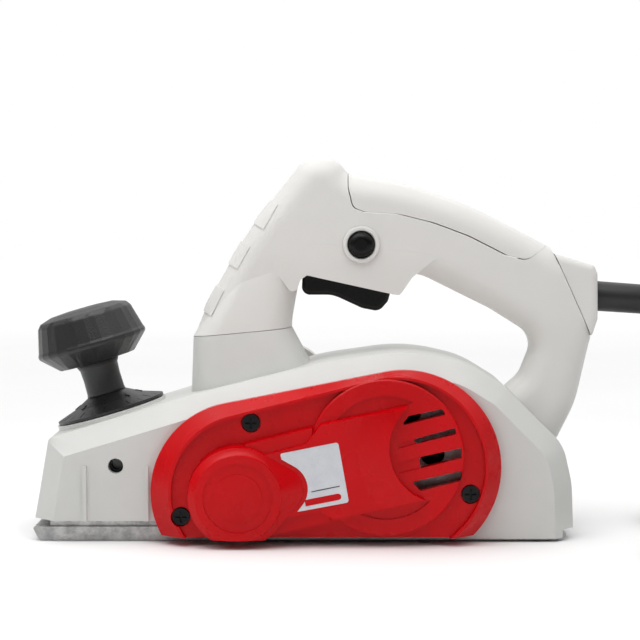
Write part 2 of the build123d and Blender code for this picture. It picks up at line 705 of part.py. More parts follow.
def grip_pads(grip):
    """Three raised pads across the front of the grip."""
    pads = []
    places = ((-51.5, 129.4, 63.4, 15.9), (-37.1, 154.4, 60.8, 14.3), (-22.2, 176.9, 60.2, 15.7))
    for x, z, lean, length in places:
        away = (-PAD_RISE * math.sin(math.radians(lean)), 0, PAD_RISE * math.cos(math.radians(lean)))
        pads.append((Location(away) * grip) & Location((x, 0, z), (0, -lean, 0)) * Box(length, 60, 11))
    return pads


def handle_shell():
    """Both handle halves before they are parted, with the switch, trigger and cord hollows."""
    shell = handle_solid()
    shell += grip_pads(shell)
    shell -= half_plane(SEAM_FRONT, -1)
    shell -= half_plane(SEAM_REAR, -1, 90)
    shell -= collar_region()
    shell -= panel_region()
    shell -= block(-1.2, 50.9, -TRIGGER_HALF - 0.4, TRIGGER_HALF + 0.4, 120, 153)
    shell -= block(8.6, 51.4, -9.4, 9.4, 152, 176)
    shell -= rod_y(BUTTON, BUTTON_RADIUS + 0.35, -30, -9)
    shell -= rod_y(BUTTON, 10.3, -30, -GRIP_HALF + 0.8)
    shell -= rod_y(TRIGGER_PIVOT, 1.5, -10.6, 10.6)
    shell -= prism(outline([(132, 92, 4), (150, 92, 4), (152, 126, 4), (134, 126, 4)]), -9, 9)
    shell -= guard_body(GAP)
    shell -= screw_holes(HANDLE_SCREWS, 2.2, -12, 20)
    shell -= screw_holes(HANDLE_SCREWS, 4.8, GRIP_HALF - SCREW_SEAT - 1.5, 40)
    return shell


HANDLE_SCREWS = ((-36, 138), (-9, 176), (66, 161), (106, 140), (143, 84))


def collar_region():
    (x0, z0), (x1, z1) = COLLAR_SEAM
    lift = (z1 - z0) / (x1 - x0)
    return prism(outline([
        (x0 - 12, z0 - 12 * lift, 0), (x1 + 0.2, z1, 0), (x1 + 40, z1, 0), (x1 + 40, z0 + 40, 0),
    ]), -60, 60)


def make_handle_half(shell, side):
    y0, y1 = sorted((side * 0.05, side * 80.0))
    half = shell & block(-100, 260, y0, y1, 0, 300)
    return max(half.solids(), key=lambda solid: solid.volume)


def make_panel():
    """The grip's top panel, a seam's width clear of the halves."""
    region = Location((SEAM_WIDTH, 0, SEAM_WIDTH)) * panel_region() - collar_region()
    panel = handle_solid() & region
    return max(panel.solids(), key=lambda solid: solid.volume)


def make_collar():
    """The slanted end piece that the cord leaves through."""
    collar = prism(outline([
        (138.1, 154.2, 2), (160.6, 147.6, 3), (162.6, 143, 3), (162.9, 118, 3), (159.8, 108.6, 1.5),
        (150, 110, 0), (128, 150, 0),
    ]), -16.5, 16.5)
    rims = collar.edges().filter_by(lambda edge: abs(abs(edge.center().Y) - 16.5) < 0.01)
    collar = fillet([edge for edge in rims if edge.center().X > 135], 4.0)
    collar &= Location((SEAM_WIDTH, 0, 0)) * collar_region()
    return collar - guard_body(0.0)


def make_ring():
    ring = ring_y(BUTTON, 10.2, BUTTON_RADIUS + 0.4, -GRIP_HALF - 1.9, -GRIP_HALF + 0.8)
    return fillet(ring.edges().group_by(Axis.Y)[0], 0.9)


def make_button():
    button = rod_y(BUTTON, BUTTON_RADIUS, -GRIP_HALF - 4.6, -13.9)
    rim = button.edges().group_by(Axis.Y)[0]
    return fillet(rim, 4.2)


def make_trigger():
    trigger = prism(outline([
        (-0.6, 131.0, 4.5), (17, 131.0, 18), (33, 123.6, 12), (42.5, 121.8, 5.5), (47.5, 127.5, 4),
        (49.2, 134, 0), (49.2, 147.0, 1), (0.4, 150, 2),
    ]), -TRIGGER_HALF, TRIGGER_HALF)
    low = trigger.edges().filter_by(lambda edge: abs(abs(edge.center().Y) - TRIGGER_HALF) < 0.01)
    trigger = fillet([edge for edge in low if edge.center().Z < 133], 2.2)
    return trigger - rod_y(TRIGGER_PIVOT, 1.5 + RUNNING_FIT, -20, 20)


def make_trigger_pin():
    return rod_y(TRIGGER_PIVOT, 1.5, -10.4, 10.4)


def make_switch():
    switch = block(9, 51, -9, 9, 154.6, 175.6)
    switch = fillet(switch.edges().filter_by(Axis.Y), 1.5)
    return switch + block(20, 40, -5, 5, 175.5, 176) - block(28, 34, -2, 2, 154, 156)


def make_capacitor():
    return Location((142, 0, 107), (0, 4, 0)) * Box(15, 16, 24)


def make_handle_screws():
    return make_screws(HANDLE_SCREWS, GRIP_HALF - 1.5, -10)


# ---------------------------------------------------------------- cord

def along_guard(distance):
    """A point on the guard's axis."""
    droop = math.radians(GUARD_DROOP)
    x, y, z = GUARD_START
    return (x + distance * math.cos(droop), y, z - distance * math.sin(droop))


def guard_body(clearance):
    """The guard without its ribs, for the guard itself and for its seat."""
    placed = Location(GUARD_START, (0, 90 + GUARD_DROOP, 0))
    profile = make_face(Polyline(
        (0, -6), (10.4 + clearance, -6), (10.4 + clearance, -2), (8.6 + clearance, -2), (8.6 + clearance, 6),
        (8.4, 12), (5.6, GUARD_LENGTH), (0, GUARD_LENGTH), close=True,
    ))
    return placed * revolve(Plane.XZ * profile, axis=Axis.Z)


def make_guard():
    placed = Location(GUARD_START, (0, 90 + GUARD_DROOP, 0))
    guard = guard_body(0.0)
    for ring in range(6):
        height = 20 + 6.4 * ring
        radius = 8.4 - 0.056 * (height - 12)
        groove = Cylinder(radius + 1, 2.2) - Cylinder(radius - 1.5, 2.2)
        guard -= placed * Location((0, 0, height)) * (groove - Box(30, 3, 4))
    return guard - placed * Location((0, 0, GUARD_LENGTH / 2 - 3)) * Cylinder(CORD_RADIUS, GUARD_LENGTH + 8)


def cord_route():
    """The hanging stretch, from the guard's end down to the outside of the coil."""
    return [
        along_guard(GUARD_LENGTH), (240, -0.8, 124.2), (260, -7, 117.5), (279.5, -24.5, 105),
        (291.5, -36, 91.5), (298, -44.5, 75.5), (300.5, -48, 59.5), (300.5, -48, 42.8),
        (300.5, -41.9, 28.1), (300.5, -30.7, 16.9), (300.5, -16, 10.8), (300.5, 0, 10.8),
    ]


def cord_radii(route):
    """Each corner's radius: as large as its two runs allow."""
    radii = []
    for before, here, after in zip(route, route[1:], route[2:]):
        arriving = Vector(here) - Vector(before)
        leaving = Vector(after) - Vector(here)
        turn = math.radians(arriving.get_angle(leaving))
        shorter = min(arriving.length, leaving.length)
        radii.append(0.45 * shorter / math.tan(turn / 2))
    return radii


def tube(route, name):
    """A round cord along straight runs and tangent arcs, with its checks printed."""
    radii = cord_radii(route)
    path = FilletPolyline(*route, radius=radii)
    profile = Plane(origin=path @ 0, z_dir=path % 0) * Circle(CORD_RADIUS)
    cord = sweep(profile, path=path)
    expected = math.pi * CORD_RADIUS ** 2 * path.length
    print(name, "length", round(path.length, 1), "radii", [round(radius, 1) for radius in radii],
          "volume over expected", round(cord.volume / expected, 4))
    return cord


def tail_route():
    """The short end from the coil's lowest outer turn to the plug."""
    x = COIL[0] - COIL_ENTRY
    return [(x, 2, TAIL_Z), (x - 0.3, -14, TAIL_Z + 0.2), (x - 0.5, -31, TAIL_Z + 2.6), (x, PLUG_START, PLUG_Z)]


def make_cord():
    return tube(cord_route(), "cord")


def make_tail():
    return tube(tail_route(), "cord tail")


def make_coil():
    """The outer shape of the wound part: a round-edged ring on the floor."""
    coil = rod_z(COIL[0], COIL[1], COIL_OUTER, 0, COIL_HEIGHT) - rod_z(COIL[0], COIL[1], COIL_INNER, -1, 40)
    coil = fillet(coil.edges().filter_by(GeomType.CIRCLE), 3.2)
    middle = 2 * math.pi * (COIL_INNER + COIL_OUTER) / 2
    print("coil turns", COIL_TURNS, "length", round(COIL_TURNS * middle, 1))
    return coil


def plug_frame():
    """On the tail's axis at the plug's cord end, looking along -Y."""
    return Location((COIL[0] - COIL_ENTRY, PLUG_START, PLUG_Z), (90, 0, 0))


def make_plug_body():
    place = plug_frame()
    relief = Cylinder(5.2, 18).moved(Location((0, 0, 11)))
    back = Plane(origin=(0, 0, 18)) * RectangleRounded(20, 14, 5)
    middle = Plane(origin=(0, 0, 32)) * RectangleRounded(35, 19.5, 8)
    body = loft([back, middle], ruled=True) + extrude(middle, PLUG_LENGTH - 14)
    for step in range(4):
        relief -= Location((0, 0, 4.5 + 3.2 * step)) * (Cylinder(6, 1.2) - Cylinder(4.2, 1.2))
    body += relief - Cylinder(CORD_RADIUS, 4.0).moved(Location((0, 0, 1.0)))
    return place * body


def make_plug_pins():
    place = plug_frame()
    pins = []
    for side in (-9.5, 9.5):
        pin = Cylinder(2.4, 19).moved(Location((side, 0, 18 + PLUG_LENGTH + 9.5)))
        pins.append(fillet(pin.edges().group_by(Axis.Z)[-1], 1.6))
    return place * (Part() + pins)


# ---------------------------------------------------------------- export

def build():
    shell = handle_shell()
    parts = {
        "body_housing": make_body(),
        "handle_left": make_handle_half(shell, -1),
        "handle_right": make_handle_half(shell, 1),
        "top_grip_panel": make_panel(),
        "rear_collar": make_collar(),
        "lock_ring": make_ring(),
        "lock_button": make_button(),
        "trigger": make_trigger(),
        "trigger_pin": make_trigger_pin(),
        "switch_body": make_switch(),
        "capacitor": make_capacitor(),
        "handle_screws": make_handle_screws(),
        "chip_duct": make_chip_duct(),
        "guide_inserts": make_guide_inserts(),
        "belt_cover": make_belt_cover(),
        "cover_screws": make_screws(BODY_SCREWS, COVER_FLOOR - 0.6, -36),
        "label_plate": make_label(),
        "right_cover": make_right_cover(),
        "right_cover_screws": make_screws(RIGHT_SCREWS, 56.5, 40),
        "front_shoe": make_front_shoe(),
        "rear_shoe": make_rear_shoe(),
        "rear_shoe_screws": make_shoe_screws(),
        "depth_knob": make_knob(),
        "scale_ring": make_scale_ring(),
        "depth_screw": make_depth_screw(),
        "depth_spring": make_depth_spring(),
        "cutter_drum": make_drum(),
        "drum_bearing_left": make_bearing(DRUM, -50, -42),
        "drum_bearing_right": make_bearing(DRUM, 42, 50),
        "driven_pulley": make_pulley(DRUM, DRIVEN_RADIUS, 30),
        "pulley_nut": make_pulley_nut(),
        "drive_belt": make_belt(),
        "drive_pulley": make_pulley(MOTOR, DRIVE_RADIUS, 24),
        "rotor_shaft": make_shaft(),
        "rotor_core": make_core(),
        "rotor_windings": make_windings(),
        "commutator": make_commutator(),
        "fan": make_fan(),
        "motor_bearing_front": make_bearing(MOTOR, -47, -39),
        "motor_bearing_rear": make_bearing(MOTOR, 48.4, 56.4),
        "stator_core": make_stator_core(),
        "stator_coils": make_stator_coils(),
        "brush_holders": make_brush_holders(),
        "brushes": make_brushes(),
        "motor_end_plate": make_end_plate(),
        "cord_guard": make_guard(),
        "cord": make_cord(),
        "cord_tail": make_tail(),
        "cord_coil": make_coil(),
        "plug_body": make_plug_body(),
        "plug_pins": make_plug_pins(),
    }
    for number, angle in enumerate(BLADE_ANGLES, 1):
        parts[f"blade_{number}"] = make_blade(angle)
        parts[f"blade_clamp_{number}"] = make_clamp(angle)
        parts[f"clamp_screws_{number}"] = clamp_screws(angle, 2.6)
    return parts


os.makedirs("parts", exist_ok=True)
for name, shape in build().items():
    export_step(shape, f"parts/{name}.step")
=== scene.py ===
"""Electric hand planer: looks, cord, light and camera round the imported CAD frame. Metres."""
import json
import math

import bmesh
import bpy
from mathutils import Euler, Matrix, Vector


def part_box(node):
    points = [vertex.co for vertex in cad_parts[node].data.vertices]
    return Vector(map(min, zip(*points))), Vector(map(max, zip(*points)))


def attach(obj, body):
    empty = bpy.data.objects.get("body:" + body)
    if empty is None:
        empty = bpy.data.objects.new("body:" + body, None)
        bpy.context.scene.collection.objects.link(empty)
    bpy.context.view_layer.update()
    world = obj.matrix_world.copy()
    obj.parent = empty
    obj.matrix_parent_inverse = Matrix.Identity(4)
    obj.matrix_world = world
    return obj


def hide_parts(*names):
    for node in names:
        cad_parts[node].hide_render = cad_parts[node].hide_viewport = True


MM = 0.001
ROUND_SIDES = 48

CAMERA_PLACE = (0.0097, -1.0, 0.175)
CAMERA_PITCH = 3.34  # degrees below level
CAMERA_LENS = 100.8

CORD_RADIUS = 0.0035

# The bend guard, from its seat in the rear collar.
GUARD_START = (0.157, 0.0, 0.1306)
GUARD_DROOP = math.radians(4.0)
GUARD_LENGTH = 0.062
FLEX_RINGS = 5
FLEX_START = 0.0355
FLEX_PITCH = 0.005
FLEX_RADIUS = 0.0080
FLEX_TAPER = 0.0005

# The coil of spare cord: its slots' radii and heights, and the degrees of winding where they change.
COIL_CENTRE = (0.2507, 0.017)
COIL_RADII = (0.0498, 0.0426, 0.0354, 0.0282)
COIL_LAYERS = (0.0108, 0.0036)
COIL_TURNS = 6.5
COIL_STEPS = 16
FIRST_CHANGE = 330
NEXT_CHANGE = 320
HALF_CHANGE = math.radians(80)

# The depth knob: (height, radius) up its leaning axis, with straight facets all round.
KNOB_FOOT = (-0.1072, 0.0, 0.0666)
KNOB_LEAN = math.radians(16.0)
KNOB_SIDES = 14
FACET_STEPS = 4
KNOB_LEVELS = (
    (0.0282, 0.0112), (0.0284, 0.0216), (0.0368, 0.0306), (0.0378, 0.0314), (0.0394, 0.0314),
    (0.0404, 0.0308), (0.0538, 0.0272), (0.0562, 0.0252), (0.0584, 0.0180), (0.0590, 0.0090),
)
NECK_LEVELS = ((0.0094, 0.0110), (0.0112, 0.0106), (0.0190, 0.0104), (0.0250, 0.0108), (0.0284, 0.0124))
NECK_WALL = 0.0008
GROOVE_DEPTH = 0.0008
GROOVE_SPAN = (0.030, 0.055)
BEVEL_WIDTH = 0.0006
BEVEL_ANGLE = math.radians(14)

# The numbers round the dial's cone.
DIAL_NUMBERS = 8
DIAL_SCALE = 4
DIAL_HEIGHT = 0.0060
DIAL_RADIUS = 0.0178
DIAL_SLOPE = math.radians(24)
DIGIT_SIZE = 0.0058
DIGIT_RAISE = 0.00022

# The label's print: each stripe's start, end (X and Z) and half width, in millimetres.
LABEL_STRIPE = ((1.9, 24.2), (19.2, 27.6), 1.7)
LABEL_RULE = ((5.2, 30.2), (19.8, 33.2), 0.25)
PRINT_LIFT = 0.00012
PRINT_SINK = 0.0001
STRIPE_STEPS = 8

FLOOR_REACH = 6.0
FLOOR_DROP = 0.0003

# Each lamp's name, place, size and power. All face LIT_POINT.
LIT_POINT = (0.0, 0.0, 0.12)
LAMPS = (
    ("overhead", (-0.10, -0.18, 0.62), (0.70, 0.35), 1.7),
    ("key_left", (-0.55, -0.60, 0.62), (0.30, 0.30), 0.3),
    ("rim_back", (0.25, 0.70, 0.70), (0.80, 0.50), 0.5),
)

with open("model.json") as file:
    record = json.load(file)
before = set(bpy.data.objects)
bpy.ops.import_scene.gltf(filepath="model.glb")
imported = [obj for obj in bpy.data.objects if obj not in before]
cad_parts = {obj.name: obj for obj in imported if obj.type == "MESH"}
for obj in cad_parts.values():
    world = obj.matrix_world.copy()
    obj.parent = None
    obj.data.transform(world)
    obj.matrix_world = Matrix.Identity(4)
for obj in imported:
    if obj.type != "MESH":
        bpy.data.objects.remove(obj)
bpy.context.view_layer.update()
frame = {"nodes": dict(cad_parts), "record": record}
NODES = frame["nodes"]


# ---------------------------------------------------------------- camera

def make_camera():
    """The photograph's view: from the belt side, square on and slightly down."""
    data = bpy.data.cameras.new("camera")
    data.lens = CAMERA_LENS
    data.sensor_width = 36.0
    data.clip_start = 0.05
    camera = bpy.data.objects.new("camera", data)
    camera.location = CAMERA_PLACE
    camera.rotation_euler = (math.radians(90.0 - CAMERA_PITCH), 0.0, 0.0)
    bpy.context.scene.collection.objects.link(camera)
    bpy.context.scene.camera = camera


# ---------------------------------------------------------------- mesh helpers

def skin(work, rings, smooth):
    """Faces between each ring of points and the next."""
    for low, high in zip(rings, rings[1:]):
        for index in range(len(low)):
            after = (index + 1) % len(low)
            face = work.faces.new((low[index], low[after], high[after], high[index]))
            face.smooth = smooth


def close_ends(work, rings):
    """A face over the first ring and one over the last, with every face turned outwards."""
    work.faces.new(list(reversed(rings[0])))
    work.faces.new(rings[-1])
    bmesh.ops.recalc_face_normals(work, faces=work.faces)


def finished_mesh(work, name):
    mesh = bpy.data.meshes.new(name)
    work.to_mesh(mesh)
    work.free()
    return mesh


def lathe(work, profile, place):
    """Round rings from (distance, radius) pairs. place(distance, radius, turn) gives each point."""
    turns = [2 * math.pi * index / ROUND_SIDES for index in range(ROUND_SIDES)]
    rings = [[work.verts.new(place(*level, turn)) for turn in turns] for level in profile]
    skin(work, rings, smooth=True)
    return rings


def new_piece(name, mesh, paint, body):
    piece = bpy.data.objects.new(name, mesh)
    bpy.context.scene.collection.objects.link(piece)
    mesh.materials.append(paint)
    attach(piece, body)
    return piece


# ---------------------------------------------------------------- cord

def along_guard(distance, radius, turn):
    """A place round the guard's axis, which droops from its seat in the collar."""
    local = Vector((distance, radius * math.cos(turn), radius * math.sin(turn)))
    local.rotate(Euler((0, GUARD_DROOP, 0)))
    return Vector(GUARD_START) + local


def guard_end():
    x, y, z = GUARD_START
    return (x + GUARD_LENGTH * math.cos(GUARD_DROOP), y, z - GUARD_LENGTH * math.sin(GUARD_DROOP))


def guard_profile():
    """(Distance, radius) pairs: a smooth sleeve, then a taper with shallow flex rings."""
    profile = [(0.0006, 0.0080), (0.0020, 0.0084), (0.0330, 0.0082)]
    for ring in range(FLEX_RINGS):
        start = FLEX_START + FLEX_PITCH * ring
        reach = FLEX_RADIUS - FLEX_TAPER * ring
        profile += [(start, reach), (start + 0.0008, reach - 0.0010)]
        profile += [(start + 0.0022, reach - 0.0011), (start + 0.0030, reach - 0.0002)]
    return profile + [(0.0612, 0.0056), (GUARD_LENGTH, 0.0050), (GUARD_LENGTH, 0.0036)]


def make_guard():
    """The bend guard where the cord leaves the collar."""
    work = bmesh.new()
    close_ends(work, lathe(work, guard_profile(), along_guard))
    mesh = finished_mesh(work, "guard_sleeve")
    guard = new_piece("guard_sleeve", mesh, material_rubber(), "housing")
    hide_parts("cord_guard")
    return guard


def hanging_points():
    """The stretch from the guard down to the coil, as in the CAD."""
    rest = (
        (240, -0.8, 124.2), (260, -7, 117.5), (279.5, -24.5, 105), (291.5, -36, 91.5),
        (298, -44.5, 75.5), (300.5, -48, 59.5), (300.5, -48, 42.8), (300.5, -41.9, 28.1),
        (300.5, -30.7, 16.9), (300.5, -16, 10.8), (300.5, 0, 10.8),
    )
    return [guard_end()] + [tuple(value * MM for value in point) for point in rest]


def coil_slots():
    """The (radius, height) slots in winding order: in along the top layer, back out along the bottom."""
    top = [(radius, COIL_LAYERS[0]) for radius in COIL_RADII]
    bottom = [(radius, COIL_LAYERS[1]) for radius in reversed(COIL_RADII)]
    return top + bottom


def coil_points():
    """The coil's turns. Each slow change of slot comes 40 degrees earlier in its turn than the last."""
    slots = coil_slots()
    changes = [math.radians(FIRST_CHANGE + NEXT_CHANGE * index) for index in range(len(slots) - 1)]
    step = 2 * math.pi / COIL_STEPS
    stretch = 1 / math.cos(step / 2)
    points = []
    for index in range(int(COIL_TURNS * COIL_STEPS) + 1):
        angle = (index - 0.5) * step
        radius, height = slots[0]
        for change, (before, after) in zip(changes, zip(slots, slots[1:])):
            part = min(1.0, max(0.0, (angle - change + HALF_CHANGE) / (2 * HALF_CHANGE)))
            ease = part * part * (3 - 2 * part)
            radius += ease * (after[0] - before[0])
            height += ease * (after[1] - before[1])
        points.append((
            COIL_CENTRE[0] + stretch * radius * math.cos(angle),
            COIL_CENTRE[1] + stretch * radius * math.sin(angle),
            height,
        ))
    return points


def tail_points():
    """The short end from the coil to the plug."""
    rest = ((200.9, 2, 3.6), (200.6, -14, 3.8), (200.4, -31, 6.2), (200.9, -50, 10.0))
    return [tuple(value * MM for value in point) for point in rest]


def make_cord():
    """The whole lead as one smooth line: hanging stretch, coil and the short end to the plug."""
    points = hanging_points() + coil_points() + tail_points()
    data = bpy.data.curves.new("cord_line", "CURVE")
    data.dimensions = "3D"
    data.resolution_u = 6
    data.bevel_depth = CORD_RADIUS
    data.bevel_resolution = 5
    data.use_fill_caps = True
    spline = data.splines.new("NURBS")
    spline.points.add(len(points) - 1)
    for point, place in zip(spline.points, points):
        point.co = (*place, 1.0)
    spline.order_u = 3
    spline.use_endpoint_u = True
    cord = bpy.data.objects.new("supply_cord", data)
    bpy.context.scene.collection.objects.link(cord)
    data.materials.append(material_rubber())
    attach(cord, "housing")
    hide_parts("cord", "cord_tail", "cord_coil")
    make_guard()


# ---------------------------------------------------------------- materials

MADE = {}


def new_material(name):
    """An empty material, kept by name so that pieces can share it."""
    material = bpy.data.materials.new(name)
    material.use_nodes = True
    MADE[name] = material
    return material, material.node_tree, material.node_tree.nodes["Principled BSDF"]


def add(tree, kind, **settings):
    """A node with its sockets, or its own settings, filled in by name."""
    node = tree.nodes.new(kind)
    for key, value in settings.items():
        if key in node.inputs:
            node.inputs[key].default_value = value
        else:
            setattr(node, key, value)
    return node


def noise(tree, scale, detail=2.0, roughness=0.5):
    """Noise in the object's own space, in cycles per metre."""
    place = add(tree, "ShaderNodeTexCoord")
    texture = add(tree, "ShaderNodeTexNoise", Scale=scale, Detail=detail, Roughness=roughness)
    tree.links.new(place.outputs["Object"], texture.inputs["Vector"])
    return texture.outputs["Fac"]


def blend_colours(tree, factor, low, high):
    """A colour between low and high, by the middle of the factor's range."""
    ramp = add(tree, "ShaderNodeValToRGB")
    ramp.color_ramp.elements[0].position = 0.35
    ramp.color_ramp.elements[0].color = (*low, 1)
    ramp.color_ramp.elements[1].position = 0.65
    ramp.color_ramp.elements[1].color = (*high, 1)
    tree.links.new(factor, ramp.inputs["Fac"])
    return ramp.outputs["Color"]


def rescale(tree, value, span, to_span):
    """The value moved from one span of numbers to another, and held at its ends."""
    scale = add(tree, "ShaderNodeMapRange")
    scale.inputs["From Min"].default_value, scale.inputs["From Max"].default_value = span
    scale.inputs["To Min"].default_value, scale.inputs["To Max"].default_value = to_span
    tree.links.new(value, scale.inputs["Value"])
    return scale.outputs["Result"]


def finish_surface(tree, shader, patch, colours, grain, roughness, bump_strength):
    """Colour from the patches, bump from the grain, and the roughness as given."""
    tree.links.new(blend_colours(tree, patch, *colours), shader.inputs["Base Color"])
    tree.links.new(roughness, shader.inputs["Roughness"])
    bump = add(tree, "ShaderNodeBump", Strength=bump_strength, Distance=0.0004)
    tree.links.new(grain, bump.inputs["Height"])
    tree.links.new(bump.outputs["Normal"], shader.inputs["Normal"])


def plastic(name, light, dark, rough, grain, grain_scale=1500.0, gloss=0.5):
    """Moulded plastic: spark-eroded grain, slow tone drift and uneven gloss."""
    if name in MADE:
        return MADE[name]
    material, tree, shader = new_material(name)
    handled = noise(tree, 60.0, 4.0)
    roughness = rescale(tree, handled, (0.3, 0.7), (rough - 0.05, rough + 0.06))
    fine = noise(tree, grain_scale, 2.5, 0.6)
    finish_surface(tree, shader, noise(tree, 22.0, 3.0), (dark, light), fine, roughness, grain)
    shader.inputs["IOR"].default_value = 1.46
    shader.inputs["Specular IOR Level"].default_value = gloss
    return material


def metal(name, light, dark, rough, grain, grain_scale, metallic=1.0, sparkle=0.0):
    """Metal with patchy tone and a grain; sparkle adds bright facets, as on a fresh casting."""
    if name in MADE:
        return MADE[name]
    material, tree, shader = new_material(name)
    facets = noise(tree, grain_scale, 3.0, 0.7)
    roughness = rescale(tree, facets, (0.3, 0.7), (rough - 0.08 - sparkle, rough + 0.1))
    finish_surface(tree, shader, noise(tree, 160.0, 5.0, 0.65), (dark, light), facets, roughness, grain)
    shader.inputs["Metallic"].default_value = metallic
    return material


def material_shell():
    return plastic("shell_plastic", (0.72, 0.71, 0.685), (0.69, 0.68, 0.655), 0.42, 0.22)


# The body housing's plastic is the shell plastic made darker and cooler: painted shade on the lower body's
# sides.
def material_body_painted_shade():
    return plastic("body_plastic_painted_shade", (0.65, 0.652, 0.63), (0.62, 0.622, 0.60), 0.42, 0.25)


def material_cover():
    return plastic("cover_plastic", (0.58, 0.0006, 0.004), (0.51, 0.0004, 0.003), 0.28, 0.12, gloss=0.2)


def material_black():
    light, dark = (0.018, 0.018, 0.0185), (0.011, 0.011, 0.0115)
    return plastic("black_plastic", light, dark, 0.34, 0.50, 1300.0, gloss=0.6)


def material_trigger():
    return plastic("trigger_plastic", (0.005, 0.005, 0.005), (0.003, 0.003, 0.003), 0.25, 0.06, gloss=0.22)


def material_rubber():
    return plastic("cord_rubber", (0.018, 0.018, 0.0185), (0.012, 0.012, 0.0125), 0.42, 0.25, 900.0)


def material_screw():
    """Black oxide, which is too dull to read as metal."""
    light, dark = (0.008, 0.008, 0.009), (0.004, 0.004, 0.005)
    return plastic("black_oxide", light, dark, 0.28, 0.2, 1800.0, gloss=0.22)


def material_alloy():
    return metal("cast_alloy", (0.62, 0.62, 0.61), (0.36, 0.36, 0.36), 0.42, 0.6, 1400.0, sparkle=0.1)


def material_steel():
    return metal("ground_steel", (0.60, 0.60, 0.61), (0.50, 0.50, 0.51), 0.30, 0.15, 2500.0)


def material_copper():
    return metal("enamelled_copper", (0.66, 0.28, 0.12), (0.50, 0.19, 0.08), 0.30, 0.5, 1200.0)


def material_brass():
    return metal("plain_brass", (0.75, 0.56, 0.24), (0.62, 0.45, 0.18), 0.28, 0.1, 1500.0)


def material_lamination():
    return metal("laminated_iron", (0.16, 0.16, 0.17), (0.09, 0.09, 0.10), 0.5, 0.4, 2200.0, metallic=0.8)


def material_label():
    return metal("silver_foil", (0.66, 0.68, 0.71), (0.60, 0.62, 0.66), 0.34, 0.05, 3000.0, metallic=0.55)


SLOT_MATERIALS = {
    "shell": material_shell,
    "cover": material_cover,
    "black": material_black,
    "trim": material_shell,
    "rubber": material_rubber,
    "alloy": material_alloy,
    "label": material_label,
    "screw": material_screw,
    "steel": material_steel,
    "lamination": material_lamination,
    "copper": material_copper,
    "carbon": material_black,
    "brass": material_brass,
}

# Nodes whose finish differs from their slot's. The body housing's finish is a darker, cooler copy of the
# shell plastic: painted shade.
NODE_MATERIALS = {
    "body_housing": material_body_painted_shade,
    "trigger": material_trigger,
    "lock_button": material_trigger,
    "guide_inserts": material_screw,
}


def paint_nodes():
    for entry in frame["record"]["subparts"]:
        make_paint = NODE_MATERIALS.get(entry["node"], SLOT_MATERIALS[entry["material_slot"]])
        for slot in NODES[entry["node"]].material_slots:
            slot.material = make_paint()


# ---------------------------------------------------------------- depth knob and dial

def up_knob(height, radius, turn):
    """A place round the knob's leaning axis, measured from the top of the nose."""
    local = Vector((radius * math.cos(turn), radius * math.sin(turn), height))
    local.rotate(Euler((0, -KNOB_LEAN, 0)))
    return Vector(KNOB_FOOT) + local


def knob_ring(work, height, radius):
    """One ring of the knob: straight facets, with a groove between them on the grip."""
    step = 2 * math.pi / (KNOB_SIDES * FACET_STEPS)
    ring = []
    for index in range(KNOB_SIDES * FACET_STEPS):
        across = (index % FACET_STEPS - FACET_STEPS / 2) * step
        reach = radius * math.cos(math.pi / KNOB_SIDES) / math.cos(across)
        if index % FACET_STEPS == 0 and GROOVE_SPAN[0] < height < GROOVE_SPAN[1]:
            reach -= GROOVE_DEPTH
        ring.append(work.verts.new(up_knob(height, reach, index * step)))
    return ring


def make_head():
    """The faceted knob, with a soft bevel on every edge."""
    work = bmesh.new()
    rings = [knob_ring(work, *level) for level in KNOB_LEVELS]
    skin(work, rings, smooth=False)
    close_ends(work, rings)
    head = new_piece("knob_head", finished_mesh(work, "knob_head"), material_black(), "depth_knob")
    bevel = head.modifiers.new("bevel", "BEVEL")
    bevel.width = BEVEL_WIDTH
    bevel.segments = 2
    bevel.limit_method = "ANGLE"
    bevel.angle_limit = BEVEL_ANGLE
    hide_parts("depth_knob")


def make_neck():
    """The knob's round neck, flared where it meets the head and the dial."""
    work = bmesh.new()
    lathe(work, NECK_LEVELS, up_knob)
    neck = new_piece("knob_neck", finished_mesh(work, "knob_neck"), material_black(), "depth_knob")
    neck.modifiers.new("thick", "SOLIDIFY").thickness = NECK_WALL


def make_dial_numbers():
    """Small raised numbers round the dial's cone."""
    upward = up_knob(1.0, 0.0, 0.0) - Vector(KNOB_FOOT)
    for number in range(DIAL_NUMBERS):
        name = "dial_number_%d" % number
        data = bpy.data.curves.new(name, "FONT")
        data.body = str(number % DIAL_SCALE)
        data.size = DIGIT_SIZE
        data.extrude = DIGIT_RAISE
        data.align_x = "CENTER"
        data.align_y = "CENTER"
        data.materials.append(material_black())
        text = bpy.data.objects.new(name, data)
        bpy.context.scene.collection.objects.link(text)
        turn = 2 * math.pi * number / DIAL_NUMBERS - math.pi / 2
        outward = up_knob(0.0, 1.0, turn) - Vector(KNOB_FOOT)
        normal = (upward * math.cos(DIAL_SLOPE) + outward * math.sin(DIAL_SLOPE)).normalized()
        rise = (upward * math.sin(DIAL_SLOPE) - outward * math.cos(DIAL_SLOPE)).normalized()
        text.location = up_knob(DIAL_HEIGHT, DIAL_RADIUS, turn)
        text.rotation_euler = Matrix((rise.cross(normal), rise, normal)).transposed().to_euler()
        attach(text, "depth_knob")


# ---------------------------------------------------------------- label print

def stripe_corners(start, end, half_width):
    """A stripe in X and Z that ends in a half circle."""
    along = Vector((end[0] - start[0], end[1] - start[1])).normalized()
    side = Vector((-along.y, along.x))
    corners = [Vector(start) + side * half_width]
    for step in range(STRIPE_STEPS + 1):
        angle = math.pi * step / STRIPE_STEPS
        corners.append(Vector(end) + half_width * (side * math.cos(angle) + along * math.sin(angle)))
    corners.append(Vector(start) - side * half_width)
    return corners


